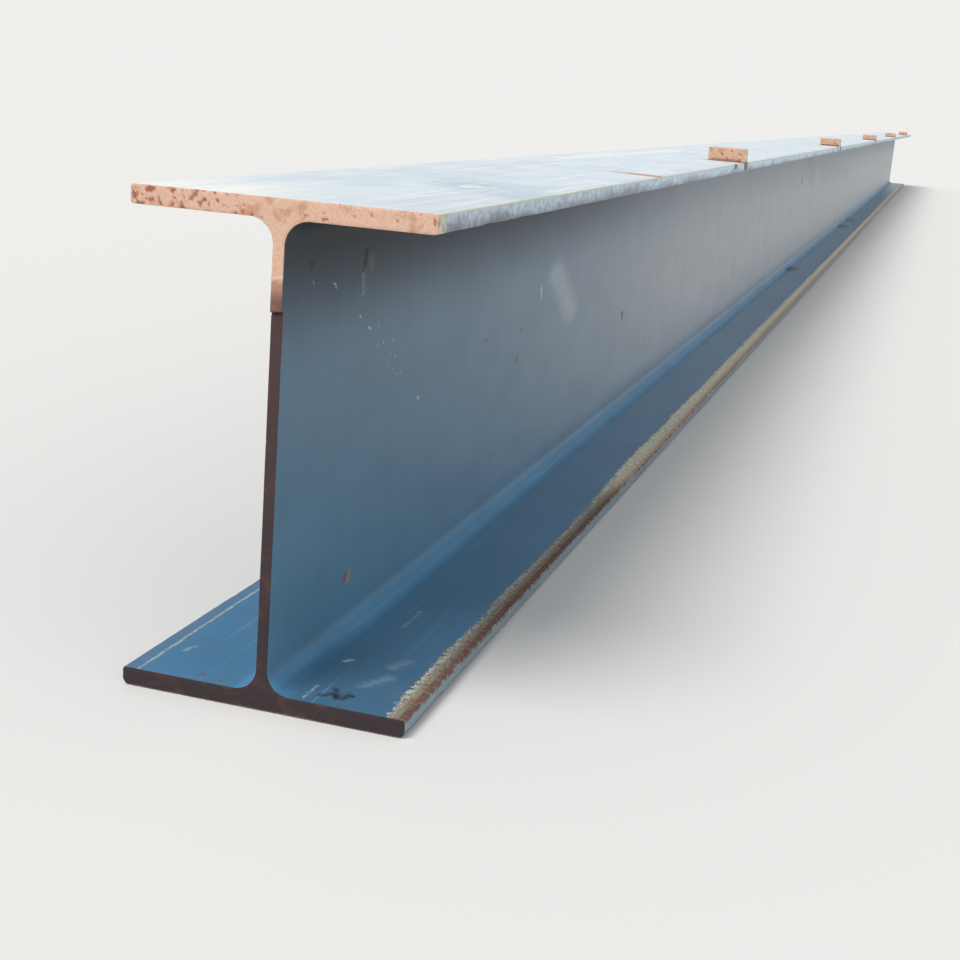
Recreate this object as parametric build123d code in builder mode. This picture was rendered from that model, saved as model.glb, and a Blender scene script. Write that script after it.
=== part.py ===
from build123d import *
import os

# A hot-rolled wide-flange steel beam, 18 in class, 76 lb/ft, in a 45 ft length, with
# 2 3/4 in square blocks of 1 in plate welded at even spacing along one edge of its top flange.
# X runs across the flanges, Y along the beam and Z up. The origin is on the underside of the
# bottom flange, at mid length and mid width. The near end is the one at -Y.

# Rolled section
section_depth = 462.5
flange_width = 280.3
flange_thickness = 17.3
web_thickness = 10.8
root_radius = 22.0
toe_radius = 2.5
worn_toe_radius = 7.0

# Length, and the near end, which was torch cut in two passes that don't quite meet
beam_length = 13716.0
second_cut_height = 366.0
second_cut_setback = 3.0

# Blocks, their places along the beam and their welds
block_size = 69.85
block_thickness = 25.4
block_edge_radius = 1.5
first_block_from_end = 1940.0
block_spacing = 2667.0
block_inset = 2.0
weld_leg = 6.0
weld_end_gap = 4.0

near_end_y = -beam_length / 2
flange_center_z = section_depth - flange_thickness / 2
web_height = section_depth - 2 * flange_thickness
block_center_x = flange_width / 2 - block_inset - block_size / 2

# As many blocks as fit, none of them within a quarter of a spacing of the far end
block_run = beam_length - first_block_from_end - block_spacing / 4
block_count = int(block_run // block_spacing) + 1


def at_roots(vertex):
    """True for the four inside corners where the web meets a flange."""
    return abs(vertex.X) < web_thickness


def at_worn_toes(vertex):
    """True for the two lowest corners, which the beam is dragged and stacked on."""
    return vertex.Y < flange_thickness / 2


def at_other_toes(vertex):
    """True for the flange corners that kept their rolled radius."""
    return abs(vertex.X) > flange_width / 4 and not at_worn_toes(vertex)


# The rolled beam
with BuildPart() as beam:
    with BuildSketch(Plane.XZ) as section:
        with Locations((0, flange_thickness / 2), (0, flange_center_z)):
            Rectangle(flange_width, flange_thickness)
        with Locations((0, section_depth / 2)):
            Rectangle(web_thickness, web_height)
        fillet(section.vertices().filter_by(at_roots), root_radius)
        fillet(section.vertices().filter_by(at_worn_toes), worn_toe_radius)
        fillet(section.vertices().filter_by(at_other_toes), toe_radius)
    extrude(amount=beam_length / 2, both=True)

    # The lower torch pass is set back, and leaves a lip across the web
    with Locations((0, near_end_y, 0)):
        Box(
            flange_width,
            second_cut_setback,
            second_cut_height,
            align=(Align.CENTER, Align.MIN, Align.MIN),
            mode=Mode.SUBTRACT,
        )

beam.part.label = "beam"


def make_block(center_y):
    """One square block on the flange's edge, with a fillet weld along its near and far faces."""
    with BuildPart() as block:
        with Locations((block_center_x, center_y, section_depth)):
            Box(
                block_size,
                block_size,
                block_thickness,
                align=(Align.CENTER, Align.CENTER, Align.MIN),
            )
        fillet(block.faces().sort_by(Axis.Z)[-1].edges(), block_edge_radius)

        # The weld's triangle, seen along X, stands in the corner between block and flange
        weld_length = block_size - 2 * weld_end_gap
        weld_start = Plane.YZ.offset(block_center_x - weld_length / 2)
        with BuildSketch(weld_start):
            for side in (-1, 1):
                root_y = center_y + side * block_size / 2
                with BuildLine():
                    Polyline(
                        (root_y, section_depth),
                        (root_y + side * weld_leg, section_depth),
                        (root_y, section_depth + weld_leg),
                        close=True,
                    )
                make_face()
        extrude(amount=weld_length)
    return block.part


blocks = []
for index in range(block_count):
    center_y = near_end_y + first_block_from_end + index * block_spacing
    block_part = make_block(center_y)
    block_part.label = f"stop_block_{index + 1}"
    blocks.append(block_part)

os.makedirs("parts", exist_ok=True)
for piece in [beam.part] + blocks:
    export_step(piece, f"parts/{piece.label}.step")
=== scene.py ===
import math
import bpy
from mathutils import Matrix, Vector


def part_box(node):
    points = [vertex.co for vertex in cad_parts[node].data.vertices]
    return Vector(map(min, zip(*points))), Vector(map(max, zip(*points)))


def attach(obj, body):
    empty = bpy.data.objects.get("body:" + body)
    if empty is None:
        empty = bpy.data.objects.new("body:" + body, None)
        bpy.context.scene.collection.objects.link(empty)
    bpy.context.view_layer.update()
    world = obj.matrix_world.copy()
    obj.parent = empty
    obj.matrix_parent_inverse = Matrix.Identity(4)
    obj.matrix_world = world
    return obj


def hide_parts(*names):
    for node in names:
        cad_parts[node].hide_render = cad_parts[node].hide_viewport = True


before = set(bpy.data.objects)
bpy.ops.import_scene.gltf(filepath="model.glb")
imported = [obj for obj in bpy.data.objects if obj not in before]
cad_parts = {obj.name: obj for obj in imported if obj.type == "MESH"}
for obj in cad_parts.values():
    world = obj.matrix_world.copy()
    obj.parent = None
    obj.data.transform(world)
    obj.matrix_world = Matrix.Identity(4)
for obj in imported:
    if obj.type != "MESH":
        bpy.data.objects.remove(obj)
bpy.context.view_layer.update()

from types import SimpleNamespace

import bpy
import numpy as np
from bpy.props import FloatProperty, FloatVectorProperty, PointerProperty
from mathutils import Matrix, Vector, noise
from mathutils.geometry import delaunay_2d_cdt

bl_info = {
    "name": "Wide-flange beam with edge blocks",
    "blender": (4, 5, 0),
    "version": (1, 0, 0),
    "location": "3D View > Sidebar > Beam",
    "description": "Dresses a packed steel beam and its welded blocks in paint, rust and wear",
    "category": "Object",
}

BEAM_LOW, BEAM_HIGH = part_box("beam")
BLOCK_NODES = sorted(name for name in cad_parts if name.startswith("stop_block_"))
MM = 0.001


def linear(code):
    """An sRGB hex colour such as "#7090A8" as linear red, green and blue."""
    shares = [int(code[i : i + 2], 16) / 255 for i in (1, 3, 5)]
    return [c / 12.92 if c <= 0.04045 else ((c + 0.055) / 1.055) ** 2.4 for c in shares]


def size_property(name, description, default):
    """A length that a user can change, in metres."""
    return FloatProperty(
        name=name, description=description, default=default, min=0.0, subtype="DISTANCE", unit="LENGTH"
    )


def colour_property(name, description, code):
    """A colour that a user can change, given as sRGB hex."""
    return FloatVectorProperty(
        name=name, description=description, default=linear(code), min=0.0, max=1.0, subtype="COLOR"
    )


class BeamSizes(bpy.types.PropertyGroup):
    """Sizes of the rolled section, its cut ends and the blocks."""

    flange_thickness: size_property("Flange thickness", "Thickness of both flanges", 0.0173)
    web_thickness: size_property("Web thickness", "Thickness of the web", 0.0108)
    root_radius: size_property("Root radius", "Radius between web and flange", 0.022)
    toe_radius: size_property("Toe radius", "Rolled radius of the flange corners", 0.0025)
    worn_toe_radius: size_property("Worn toe radius", "Radius of the lowest two corners", 0.007)
    second_cut_height: size_property("Second cut height", "Top of the lower torch pass", 0.366)
    second_cut_setback: size_property("Second cut setback", "How far that pass lies back", 0.003)
    block_edge_radius: size_property("Block edge radius", "Rounding of the blocks' edges", 0.0015)
    weld_leg: size_property("Weld leg", "Leg of the blocks' fillet welds", 0.006)
    weld_end_gap: size_property("Weld end gap", "From a block's side to its welds", 0.004)


class BeamColours(bpy.types.PropertyGroup):
    """Colours of the paint, the rust and what lies on them."""

    primer: colour_property("Primer", "Blue primer low on the beam, where it is sound", "#45718C")
    # Painted skylight: a saturated blue laid on the bottom flange and in the web's lower roots, as blue
    # sky light would tint them.
    painted_skylight: colour_property("Sheltered primer", "Primer that the sun hasn't reached", "#3A79A3")
    # Grey primer: used for greying at random, on the flanges and by dust on the left flange, and as
    # painted reflection that greys the primer upwards and along the beam.
    primer_grey: colour_property("Weathered primer", "The same primer where it has greyed", "#56738A")
    chalk: colour_property("Chalked primer", "Powdery primer on faces that look up", "#D2DCE2")
    tip_chalk: colour_property("Chalked tip", "Bluer chalk on the top flange's tips", "#CBDDEB")
    # Painted sheen: pales the primer along the beam, most at mid height of the web, as reflection at a
    # grazing view would.
    painted_sheen: colour_property("Pale primer", "Primer bleached towards the far end", "#A8ADB1")
    # Painted shade: darkens the top of the web and the top flange's underside near the cut, where the top
    # flange shades them.
    under_flange_shade: colour_property("Soot", "Primer darkened beside the torch cut", "#3A3B3E")
    scrape: colour_property("Scrapes", "Primer rubbed nearly white", "#EFEFE6")
    cream: colour_property("Pale film", "Primer burnt or worn to a pale film", "#CCC8AE")
    # Painted sunlight: the film's paler colour past the first metre, where sun lit it.
    sunlit_film: colour_property("Clean film", "Unstained pale film past the first metre", "#F0E7CC")
    olive: colour_property("Stained film", "That film stained by rust", "#8F8669")
    tip_grey: colour_property("Worn tip", "Thin greenish primer on the lower flange's tips", "#7F9297")
    dirt: colour_property("Dirt", "Road dirt and grease", "#26211E")
    rust: colour_property("Rust", "Loose orange rust", "#B07650")
    old_rust: colour_property("Old rust", "Dense brown rust", "#644640")
    # Painted sunlight: the edge's rust paler and tanner past the first metre, where sun lit it.
    sunlit_rust: colour_property("Tan rust", "Thin rust on the edge past the first metre", "#C79A6B")
    cut_rust: colour_property("Cut face rust", "Fresh pale rust on the upper cut", "#DDB49B")
    # Partly painted shade: the upper cut darkens towards the lip as heat tint and as the soft edge of the
    # shade below it.
    cut_heat_and_shade: colour_property("Heated cut", "The upper cut where it darkens to the lip", "#6E4D43")
    cut_line: colour_property("Cut line", "Pale line where the upper cut slowed", "#E6CBB6")
    # Partly painted shade: the lower pass's own darker scale, darkened further as the shade on it.
    low_cut_rust_and_shade: colour_property("Lower cut rust", "Dark rust on the lower cut", "#463232")
    # Painted shade: the lower pass darkest near the floor.
    low_cut_shade: colour_property("Lower cut's foot", "The darkest skin, low on that cut", "#2F2427")
    low_cut_scale: colour_property("Lower cut's scale", "Browner patches on that cut", "#5B3E39")
    low_cut_arris: colour_property("Lower cut's arris", "Bruised lowest edge of that cut", "#8C8078")
    pit: colour_property("Pits", "Floors of the rust pits", "#98533F")
    block_rust: colour_property("Block rust", "Dry orange rust on the blocks", "#DFB497")
    block_pit: colour_property("Block pits", "Floors of the blocks' pits", "#8A4F3A")
    block_smear: colour_property("Block smear", "Pale smear on the blocks' outer side", "#F0E4CC")
    weld: colour_property("Weld", "Weld metal under thin rust", "#9A695B")
    weld_toe: colour_property("Weld toes", "Purple-brown patches of the weld", "#4F3238")


class StudioSettings(bpy.types.PropertyGroup):
    """Camera and light of the stage."""

    camera_place: FloatVectorProperty(
        name="Camera place",
        description="From the near end's bottom centre",
        default=(0.531, -1.194, 0.563),
        subtype="TRANSLATION",
        unit="LENGTH",
    )
    camera_turn: FloatVectorProperty(
        name="Camera turn",
        description="Yaw to the right of +Y, pitch down and roll",
        default=(math.radians(-15.83), math.radians(14.277), math.radians(-4.511)),
        subtype="EULER",
        unit="ROTATION",
    )
    focal_length_px: FloatProperty(
        name="Focal length", description="In pixels of a frame 960 wide", default=1530.3, min=1.0
    )
    key_strength: FloatProperty(name="Key light", description="Strength from above", default=2.1)
    side_strength: FloatProperty(name="Side light", description="Strength from the side", default=0.5)
    sky_strength: FloatProperty(name="Sky light", description="Strength all round", default=0.56)
    sky: colour_property("Sky", "What lights the beam from all round", "#EEF3FA")
    floor: colour_property("Floor", "Plain pale studio floor", "#E6E3DE")
    backdrop: colour_property("Backdrop", "What shows behind the floor", "#F0EFED")


# Wear placed one by one. Each mark has its start and end as (x, mm from the near end, z), its
# width, how softly it fades, its colour and how strongly it covers.
WEB_MARKS = [
    ((5, 187, 402), (5, 196, 405), 1.6, 1.6, "dirt", 1.0),
    ((5, 196, 405), (5, 199, 398), 1.8, 1.6, "dirt", 1.0),
    ((5, 199, 398), (5, 191, 386), 1.8, 1.8, "dirt", 1.0),
    ((5, 211, 400), (5, 213, 386), 1, 3, "olive", 0.2),
    ((5, 193, 384), (5, 195, 362), 0.5, 2.5, "cream", 0.2),
    ((5, 62, 404), (5, 63, 399), 1, 2.5, "dirt", 0.8),
    ((5, 68, 386), (5, 69, 384), 0.6, 1.2, "cream", 0.55),
    ((5, 118, 380), (5, 130, 374), 0.3, 1.3, "cream", 0.6),
    ((5, 186, 343), (5, 193, 341), 0.6, 1.4, "cream", 0.7),
    ((5, 216, 327), (5, 221, 324), 0.6, 1.4, "cream", 0.7),
    ((5, 382, 230), (5, 384, 228), 1.5, 2, "cream", 0.5),
    ((5, 897, 302), (5, 904, 284), 0.5, 2.5, "cream", 0.7),
    ((5, 3, 358), (5, 3, 346), 3, 1.5, "old_rust", 0.95),
    ((5, 190, 79), (5, 190, 72), 3, 2, "old_rust", 1.0),
    ((5, 196, 78), (5, 196, 71), 2, 3, "rust", 0.7),
    ((5, 637, 259), (5, 637, 256), 1.5, 2, "dirt", 0.8),
    ((5, 795, 216), (5, 795, 208), 1.5, 2.5, "dirt", 0.9),
    ((5, 804, 252), (5, 804, 249), 1.5, 2, "dirt", 0.7),
    ((5, 984, 312), (5, 1090, 246), 4, 26, "chalk", 0.28),
    ((5, 1506, 195), (5, 1508, 187), 4, 3, "dirt", 1.0),
    ((5, 4745, 330), (5, 4748, 316), 9, 6, "dirt", 0.9),
    ((5, 4654, 312), (5, 4654, 305), 6, 6, "dirt", 0.5),
    ((5, 5000, 390), (5, 5200, 330), 20, 70, "dirt", 0.25),
    ((5, 5600, 330), (5, 7400, 280), 20, 70, "dirt", 0.2),
]
TOP_MARKS = [
    ((78, 1028, 462.5), (142, 998, 462.5), 26, 12, "rust", 1.0),
    ((50, 1036, 462.5), (78, 1028, 462.5), 12, 16, "cream", 0.9),
    ((48, 401, 462.5), (149, 300, 462.5), 46, 60, "primer", 0.2),
    ((-20, 520, 462.5), (70, 450, 462.5), 30, 50, "primer", 0.1),
    ((45, 375, 462.5), (55, 394, 462.5), 9, 6, "scrape", 1.0),
    ((64, 257, 462.5), (69, 264, 462.5), 6, 5, "scrape", 0.9),
    ((-93, 1340, 462.5), (-73, 2410, 462.5), 8, 30, "scrape", 0.6),
]
BOTTOM_MARKS = [
    ((51, 26, 17), (60, 32, 17), 4, 4, "dirt", 0.8),
    ((58, 44, 17), (66, 26, 17), 3, 4, "dirt", 0.75),
    ((66, 28, 17), (76, 34, 17), 4, 4, "dirt", 0.8),
    ((72, 24, 17), (72, 42, 17), 2, 3, "dirt", 0.6),
    ((38, 12, 17), (40, 44, 17), 0.5, 2, "chalk", 0.45),
    ((40, 113, 17), (43, 118, 17), 2, 3, "cream", 0.8),
    ((78, 66, 17), (92, 92, 17), 1, 11, "chalk", 0.16),
    ((86, 120, 17), (94, 140, 17), 1, 11, "chalk", 0.14),
    ((57, 232, 17), (57, 288, 17), 0.5, 4, "chalk", 0.25),
    ((-70, 18, 17), (-66, 21, 17), 3, 3, "old_rust", 0.8),
    ((-49, 11, 17), (-45, 14, 17), 2, 3, "old_rust", 0.7),
    ((-110, 68, 17), (-104, 82, 17), 0.5, 4, "chalk", 0.3),
    ((30, 4430, 18), (36, 4570, 18), 22, 16, "dirt", 0.8),
    ((36, 6950, 18), (36, 7180, 18), 20, 20, "dirt", 0.8),
    ((36, 7560, 18), (36, 7760, 18), 20, 20, "dirt", 0.7),
]
WEB_SQUEEZE = (1, 0.4, 1)  # marks on the web are wider along the beam than they are high
SPLATTER = ((5, 255, 318), (5, 325, 272))

# Drips from a block: start and end as (mm past its middle, height from the flange's top), width
DRIPS = [((4, 0), (6, -8), 9), ((6, -8), (8, -15), 4), ((-146, 0), (-144, -6), 6)]
DRIP_SQUEEZE = (1, 0.22, 1)

# The rust round a block's foot: its stretch, and where it fades out, in mm from the middle
HALO_SQUEEZE = (1, 0.9, 0)
HALO_REACH = (56, 40)

# Heights over which the paint changes, in mm above the floor. All but the last set painted light: painted
# reflection that greys the primer, painted shade under the top flange, a painted sheen, and a painted
# light that is lighter low on the web and darker high up
REFLECTION_GREY_RISE = (200, 430)
UNDER_FLANGE_SHADE_RISE = (300, 430)
SHEEN_FOOT = (24, 70)
SHEEN_HEAD = (230, 430)
SHADE_RISE = (40, 270)
TOP_FLANGE_RISE = (300, 320)

# Distances from the near end over which it changes, in mm. All of these set painted light: painted
# reflection and sheen along the beam, painted shade under the top flange by the cut, painted reflection
# on the top flange's tips, painted sunlight on the film past the first metre, painted skylight on the
# left flange, and painted shade on the bottom flange at the near end
REFLECTION_GREY_RUN = (300, 4000)
SHEEN_RUN = (60, 2500)
UNDER_FLANGE_SHADE_RUN = (0, 2600)
TIP_SHEEN_RUN = (0, 1600)
PAINTED_SUN_RUN = (820, 1050)
PAINTED_SKYLIGHT_RUN = (700, 2400)
PAINTED_SHADE_END_RUN = (300, 40)

# How far in from the bottom flange's edges its worn bands reach, each from bare to full, in mm
FILM_FADE = (27, 14)
FILM_LIMIT = (25, 22)
STAIN_REACH = (18.0, 11.0)
RUST_REACH = (9.5, 6.0)
DUST_REACH = (14, 11)
LEFT_LINE_INWARD = 15.5
LEFT_LINE_HALF_WIDTH = (1.9, 0.8)

# Heights on the torch cut, in mm. The band above the lip is partly painted shade, and the lower pass
# darkens towards its foot as painted shade
CUT_HEAT_AND_SHADE_RISE = (402, 372)
CUT_LINE_HEIGHT = 395
CUT_SHADE_RISE = (330, 60)
KERF_SLOPE = 0.2  # the two passes meet along a line that climbs by this much across the web

SHAKE_SIZE, SHAKE = 9, 7.0  # mm between a mark's ragged teeth, and how far they reach

NOISE = (0.3, 0.7)  # nearly all of a noise lies between these
MASK = (0.0, 1.0)


def add(tree, kind, inputs=(), output=0, **settings):
    """Adds a node with its settings and links, and returns one of its outputs."""
    made = tree.nodes.new("ShaderNode" + kind)
    for name, value in settings.items():
        setattr(made, name, value)
    for key, value in dict(inputs).items():
        if isinstance(value, bpy.types.NodeSocket):
            tree.links.new(value, made.inputs[key])
        elif hasattr(value, "__len__") and made.inputs[key].type == "RGBA":
            made.inputs[key].default_value = (*value[:3], 1.0)
        else:
            made.inputs[key].default_value = value
    return made.outputs[output]


def start_material(name):
    """An empty material with its tree, and the point on the surface in mm."""
    material = bpy.data.materials.new(name)
    material.use_nodes = True
    tree = material.node_tree
    tree.nodes.clear()
    place = add(tree, "TexCoord", output="Object")
    place = add(tree, "VectorMath", {0: place, "Scale": 1 / MM}, operation="SCALE")
    return material, tree, place


def finish_material(tree, colour, roughness, height, depth_mm, **shader):
    """Adds the shader. height is a pattern from 0 to 1 that stands depth_mm high."""
    normal = add(tree, "Bump", {"Height": height, "Distance": depth_mm * MM, "Strength": 1.0})
    inputs = {"Base Color": colour, "Roughness": roughness, "Normal": normal, **shader}
    surface = add(tree, "BsdfPrincipled", inputs)
    add(tree, "OutputMaterial", {"Surface": surface}, output=slice(0))


def grain(place, size, detail):
    """Cloudy noise around 0.5, with grains of size (x, y, z) mm."""
    tree = place.id_data
    scaled = add(tree, "VectorMath", {0: place, 1: [1 / s for s in size]}, operation="MULTIPLY")
    return add(tree, "TexNoise", {"Vector": scaled, "Scale": 1.0, "Detail": detail})


def ramp(value, span, ends=MASK):
    """Runs smoothly from the first end to the second while value crosses the span."""
    inputs = {"Value": value, 1: span[0], 2: span[1], 3: ends[0], 4: ends[1]}
    return add(value.id_data, "MapRange", inputs, interpolation_type="SMOOTHSTEP")


def combined(values, operation):
    """All the values joined by one operation, in the tree that the first socket belongs to."""
    tree = next(value.id_data for value in values if isinstance(value, bpy.types.NodeSocket))
    total = values[0]
    for value in values[1:]:
        total = add(tree, "Math", {0: total, 1: value}, operation=operation)
    return total


def product(*values):
    """All the values multiplied: where every mask shows."""
    return combined(values, "MULTIPLY")


def total_of(*values):
    """All the values added."""
    return combined(values, "ADD")


def strongest(*values):
    """The largest of the values: where any mask shows."""
    return combined(values, "MAXIMUM")


def sway(grains, reach):
    """Noise as a distance that sways both ways by up to half of reach."""
    return product(total_of(grains, -0.5), reach)


def near_to(value, middle, half_width, strength=1.0):
    """Mask of a thin band round middle, whose edge fades over half_width."""
    away = add(value.id_data, "Math", {0: total_of(value, -middle)}, operation="ABSOLUTE")
    return ramp(away, half_width, (0.0, strength))


def layered(base, layers, sockets=(6, 7, 2), data_type="RGBA"):
    """The base with each (mask, value) laid over it in turn. sockets are the node's two colour
    inputs and its result."""
    under, over, result = sockets
    for mask, value in layers:
        inputs = {0: mask, under: base, over: value}
        base = add(mask.id_data, "Mix", inputs, result, data_type=data_type)
    return base


def layered_number(base, layers):
    """The same for a number such as roughness."""
    return layered(base, layers, (2, 3, 0), "FLOAT")


def stroke(place, start, end, width, soft, strength=1.0):
    """Mask of a straight mark, width mm wide, that fades over soft mm more."""
    tree = place.id_data
    run = Vector(end) - Vector(start)
    offset = add(tree, "VectorMath", {0: place, 1: start}, operation="SUBTRACT")
    per_run = run / run.length_squared
    share = add(tree, "VectorMath", {0: offset, 1: per_run}, "Value", operation="DOT_PRODUCT")
    share = add(tree, "Clamp", {0: share})
    nearest = add(tree, "VectorMath", {0: run, "Scale": share}, operation="SCALE")
    distance = add(tree, "VectorMath", {0: offset, 1: nearest}, "Value", operation="DISTANCE")
    return ramp(distance, (width / 2 + soft, width / 2), (0.0, strength))


def specks(place, spacing, radius):
    """Mask of round specks, one to each cell of spacing mm."""
    tree = place.id_data
    scaled = add(tree, "VectorMath", {0: place, "Scale": 1 / spacing}, operation="SCALE")
    distance = add(tree, "TexVoronoi", {"Vector": scaled, "Scale": 1.0}, "Distance")
    return ramp(distance, (1.4 * radius / spacing, 0.8 * radius / spacing))


def section_in_mm(sizes):
    """The rolled section's sizes in mm: what the frame's box doesn't say comes from sizes."""
    low, high = BEAM_LOW / MM, BEAM_HIGH / MM
    return SimpleNamespace(
        half=high.x,
        depth=high.z,
        length=high.y - low.y,
        flange=sizes.flange_thickness / MM,
        web=sizes.web_thickness / MM,
        root=sizes.root_radius / MM,
        toe=sizes.toe_radius / MM,
        worn=sizes.worn_toe_radius / MM,
        step_height=sizes.second_cut_height / MM,
        setback=sizes.second_cut_setback / MM,
    )


def to_frame(section, place):
    """A place measured from the near end, in the frame's mm."""
    x, y, z = place
    return x, y - section.length / 2, z


def start_coat(name, section):
    """A new coat of primer: its tree, where on the beam a point is in mm, and its patterns."""
    material, tree, place = start_material(name)
    x, y, z = add(tree, "SeparateXYZ", {0: place}).node.outputs
    normal = add(tree, "NewGeometry", output="Normal")
    across = add(tree, "Math", {0: x}, operation="ABSOLUTE")
    inward = add(tree, "Math", {0: section.half, 1: across}, operation="SUBTRACT")
    from_middle = add(tree, "Math", {0: y}, operation="ABSOLUTE")
    coat = SimpleNamespace(
        material=material,
        tree=tree,
        place=place,
        x=x,
        z=z,
        up=add(tree, "SeparateXYZ", {0: normal}, "Z"),
        along=total_of(y, section.length / 2),
        across=across,
        inward=inward,
        from_cut=add(tree, "Math", {0: section.length / 2, 1: from_middle}, operation="SUBTRACT"),
        on_tip=ramp(inward, (3.0, 1.0)),
        low_flange=ramp(z, (section.flange + 12, section.flange + 2)),
        drift=grain(place, (500, 1700, 260), 1),
        mottle=grain(place, (70, 110, 60), 2),
        fine=grain(place, (4, 6, 4), 2),
        lengthwise=grain(place, (4, 260, 30), 3),
        drags=grain(place, (26, 4, 26), 1),
        flakes=grain(place, (6, 9, 6), 3),
    )
    faces_up = ramp(coat.up, (0.6, 0.9))
    coat.top = product(faces_up, ramp(z, (section.depth - 2, section.depth - 1)))
    coat.low_top = product(faces_up, coat.low_flange)
    coat.low_left = product(coat.low_top, ramp(x, (1, -1)))
    coat.low_right = product(coat.low_top, ramp(x, (-1, 1)))
    coat.in_root = product(
        ramp(across, (section.web / 2 + 0.1, section.web / 2 + 5)),
        ramp(across, (section.web / 2 + section.root + 7, section.web / 2 + section.root - 7)),
        ramp(z, (62, 34)),
        ramp(z, (8, 14)),
    )
    coat.on_web = ramp(across, (40, 10))
    coat.flaked = sway(coat.flakes, 10.0)

    # The same place shaken by a few mm, which makes the outlines of marks ragged
    shake = add(tree, "TexNoise", {"Vector": place, "Scale": 1 / SHAKE_SIZE, "Detail": 1.0}, "Color")
    shake = add(tree, "VectorMath", {0: shake, 1: (0.5,) * 3}, operation="SUBTRACT")
    coat.shaken = add(tree, "VectorMath", {0: shake, 1: (SHAKE,) * 3, 2: place}, operation="MULTIPLY_ADD")
    return coat


def sound_primer(coat, colours, painted_under_flange_shade):
    """Primer where nothing has broken it, mottled all over, with painted light in its colour:
    painted reflection and sheen that grey and pale it upwards and along the beam, painted
    skylight that blues the bottom flange and the lower roots, painted shade under the top flange
    by the cut, and a factor of painted light and shade."""
    z, along = coat.z, coat.along
    # Greying at random and on the flanges, and painted reflection: greyer upwards and along the beam.
    greying_and_painted_reflection = total_of(
        ramp(z, REFLECTION_GREY_RISE, (0.0, 0.75)),
        ramp(along, REFLECTION_GREY_RUN, (0.0, 0.35)),
        ramp(coat.drift, (0.35, 0.7), (-0.08, 0.14)),
        product(coat.low_right, 0.45),
        product(coat.low_left, 0.3),
    )
    # Painted sheen: paler along the beam, most at mid height of the web.
    painted_sheen_share = product(
        ramp(along, SHEEN_RUN, (0.0, 0.85)),
        ramp(z, SHEEN_FOOT, (0.2, 1.0)),
        ramp(z, SHEEN_HEAD, (1.0, 0.35)),
    )
    # Painted skylight: bluer on the bottom flange, most on its left side near the cut, and in the lower
    # roots.
    painted_skylight_share = total_of(
        product(coat.low_right, 0.22),
        product(coat.low_left, ramp(along, PAINTED_SKYLIGHT_RUN, (0.45, 0.25))),
        product(coat.in_root, ramp(coat.low_flange, (1, 0), (0.1, 0.36))),
    )
    layers = [
        (add(coat.tree, "Clamp", {0: greying_and_painted_reflection}), colours.primer_grey),
        (painted_sheen_share, colours.painted_sheen),
        (painted_under_flange_shade, colours.under_flange_shade),
        (painted_skylight_share, colours.painted_skylight),
    ]
    upright = grain(coat.place, (60, 14, 300), 1)
    streaks = product(sway(upright, 0.14), coat.on_web)
    # Painted shade: the bottom flange's right side darker over its first 300 mm from the cut.
    painted_shade_at_end = product(coat.low_right, ramp(along, PAINTED_SHADE_END_RUN))
    # Real streaks and mottle, times painted light: lighter low on the web and darker high up, lighter in
    # the roots, darker on the left flange, lighter on the right flange, and darker at its near end.
    light = product(
        total_of(streaks, ramp(coat.mottle, NOISE, (0.95, 1.05))),
        ramp(z, SHADE_RISE, (1.13, 0.84)),
        ramp(coat.in_root, MASK, (1.0, 1.2)),
        ramp(coat.low_left, MASK, (1.0, 0.92)),
        ramp(coat.low_right, MASK, (1.0, 1.14)),
        ramp(painted_shade_at_end, MASK, (1.0, 0.64)),
    )
    sound = layered(colours.primer, layers)
    return add(coat.tree, "HueSaturation", {"Color": sound, "Value": light})


def mixed_rust(coat, colours):
    """Brown rust with looser orange rust in it."""
    orange = ramp(coat.flakes, (0.5, 0.75), (0.0, 0.45))
    return layered(colours.old_rust, [(orange, colours.rust)])


def mixed_film(coat, colours):
    """Pale film with rust stains in it."""
    stains = ramp(coat.flakes, (0.36, 0.54), (0.5, 0.0))
    return layered(colours.cream, [(stains, colours.olive)])


def freckle_layers(coat, colours):
    """A few freckles of rust, wide apart on every painted face."""
    freckles = product(specks(coat.place, 110, 3.0), ramp(coat.fine, (0.4, 0.5)), 0.7)
    return [(freckles, colours.old_rust)]


def mark_layers(coat, section, colours, marks, where, squeeze=(1, 1, 1)):
    """The marks in a list, with ragged outlines."""
    inputs = {0: coat.shaken, 1: squeeze}
    squeezed = add(coat.tree, "VectorMath", inputs, operation="MULTIPLY")
    here = product(ramp(coat.flakes, (0.36, 0.52), (0.4, 1.0)), where)
    layers = []
    for start, end, width, soft, name, strength in marks:
        ends = [Vector(to_frame(section, p)) * Vector(squeeze) for p in (start, end)]
        mark = stroke(squeezed, *ends, width, soft, strength)
        layers.append((product(mark, here), getattr(colours, name)))
    return layers


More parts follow.
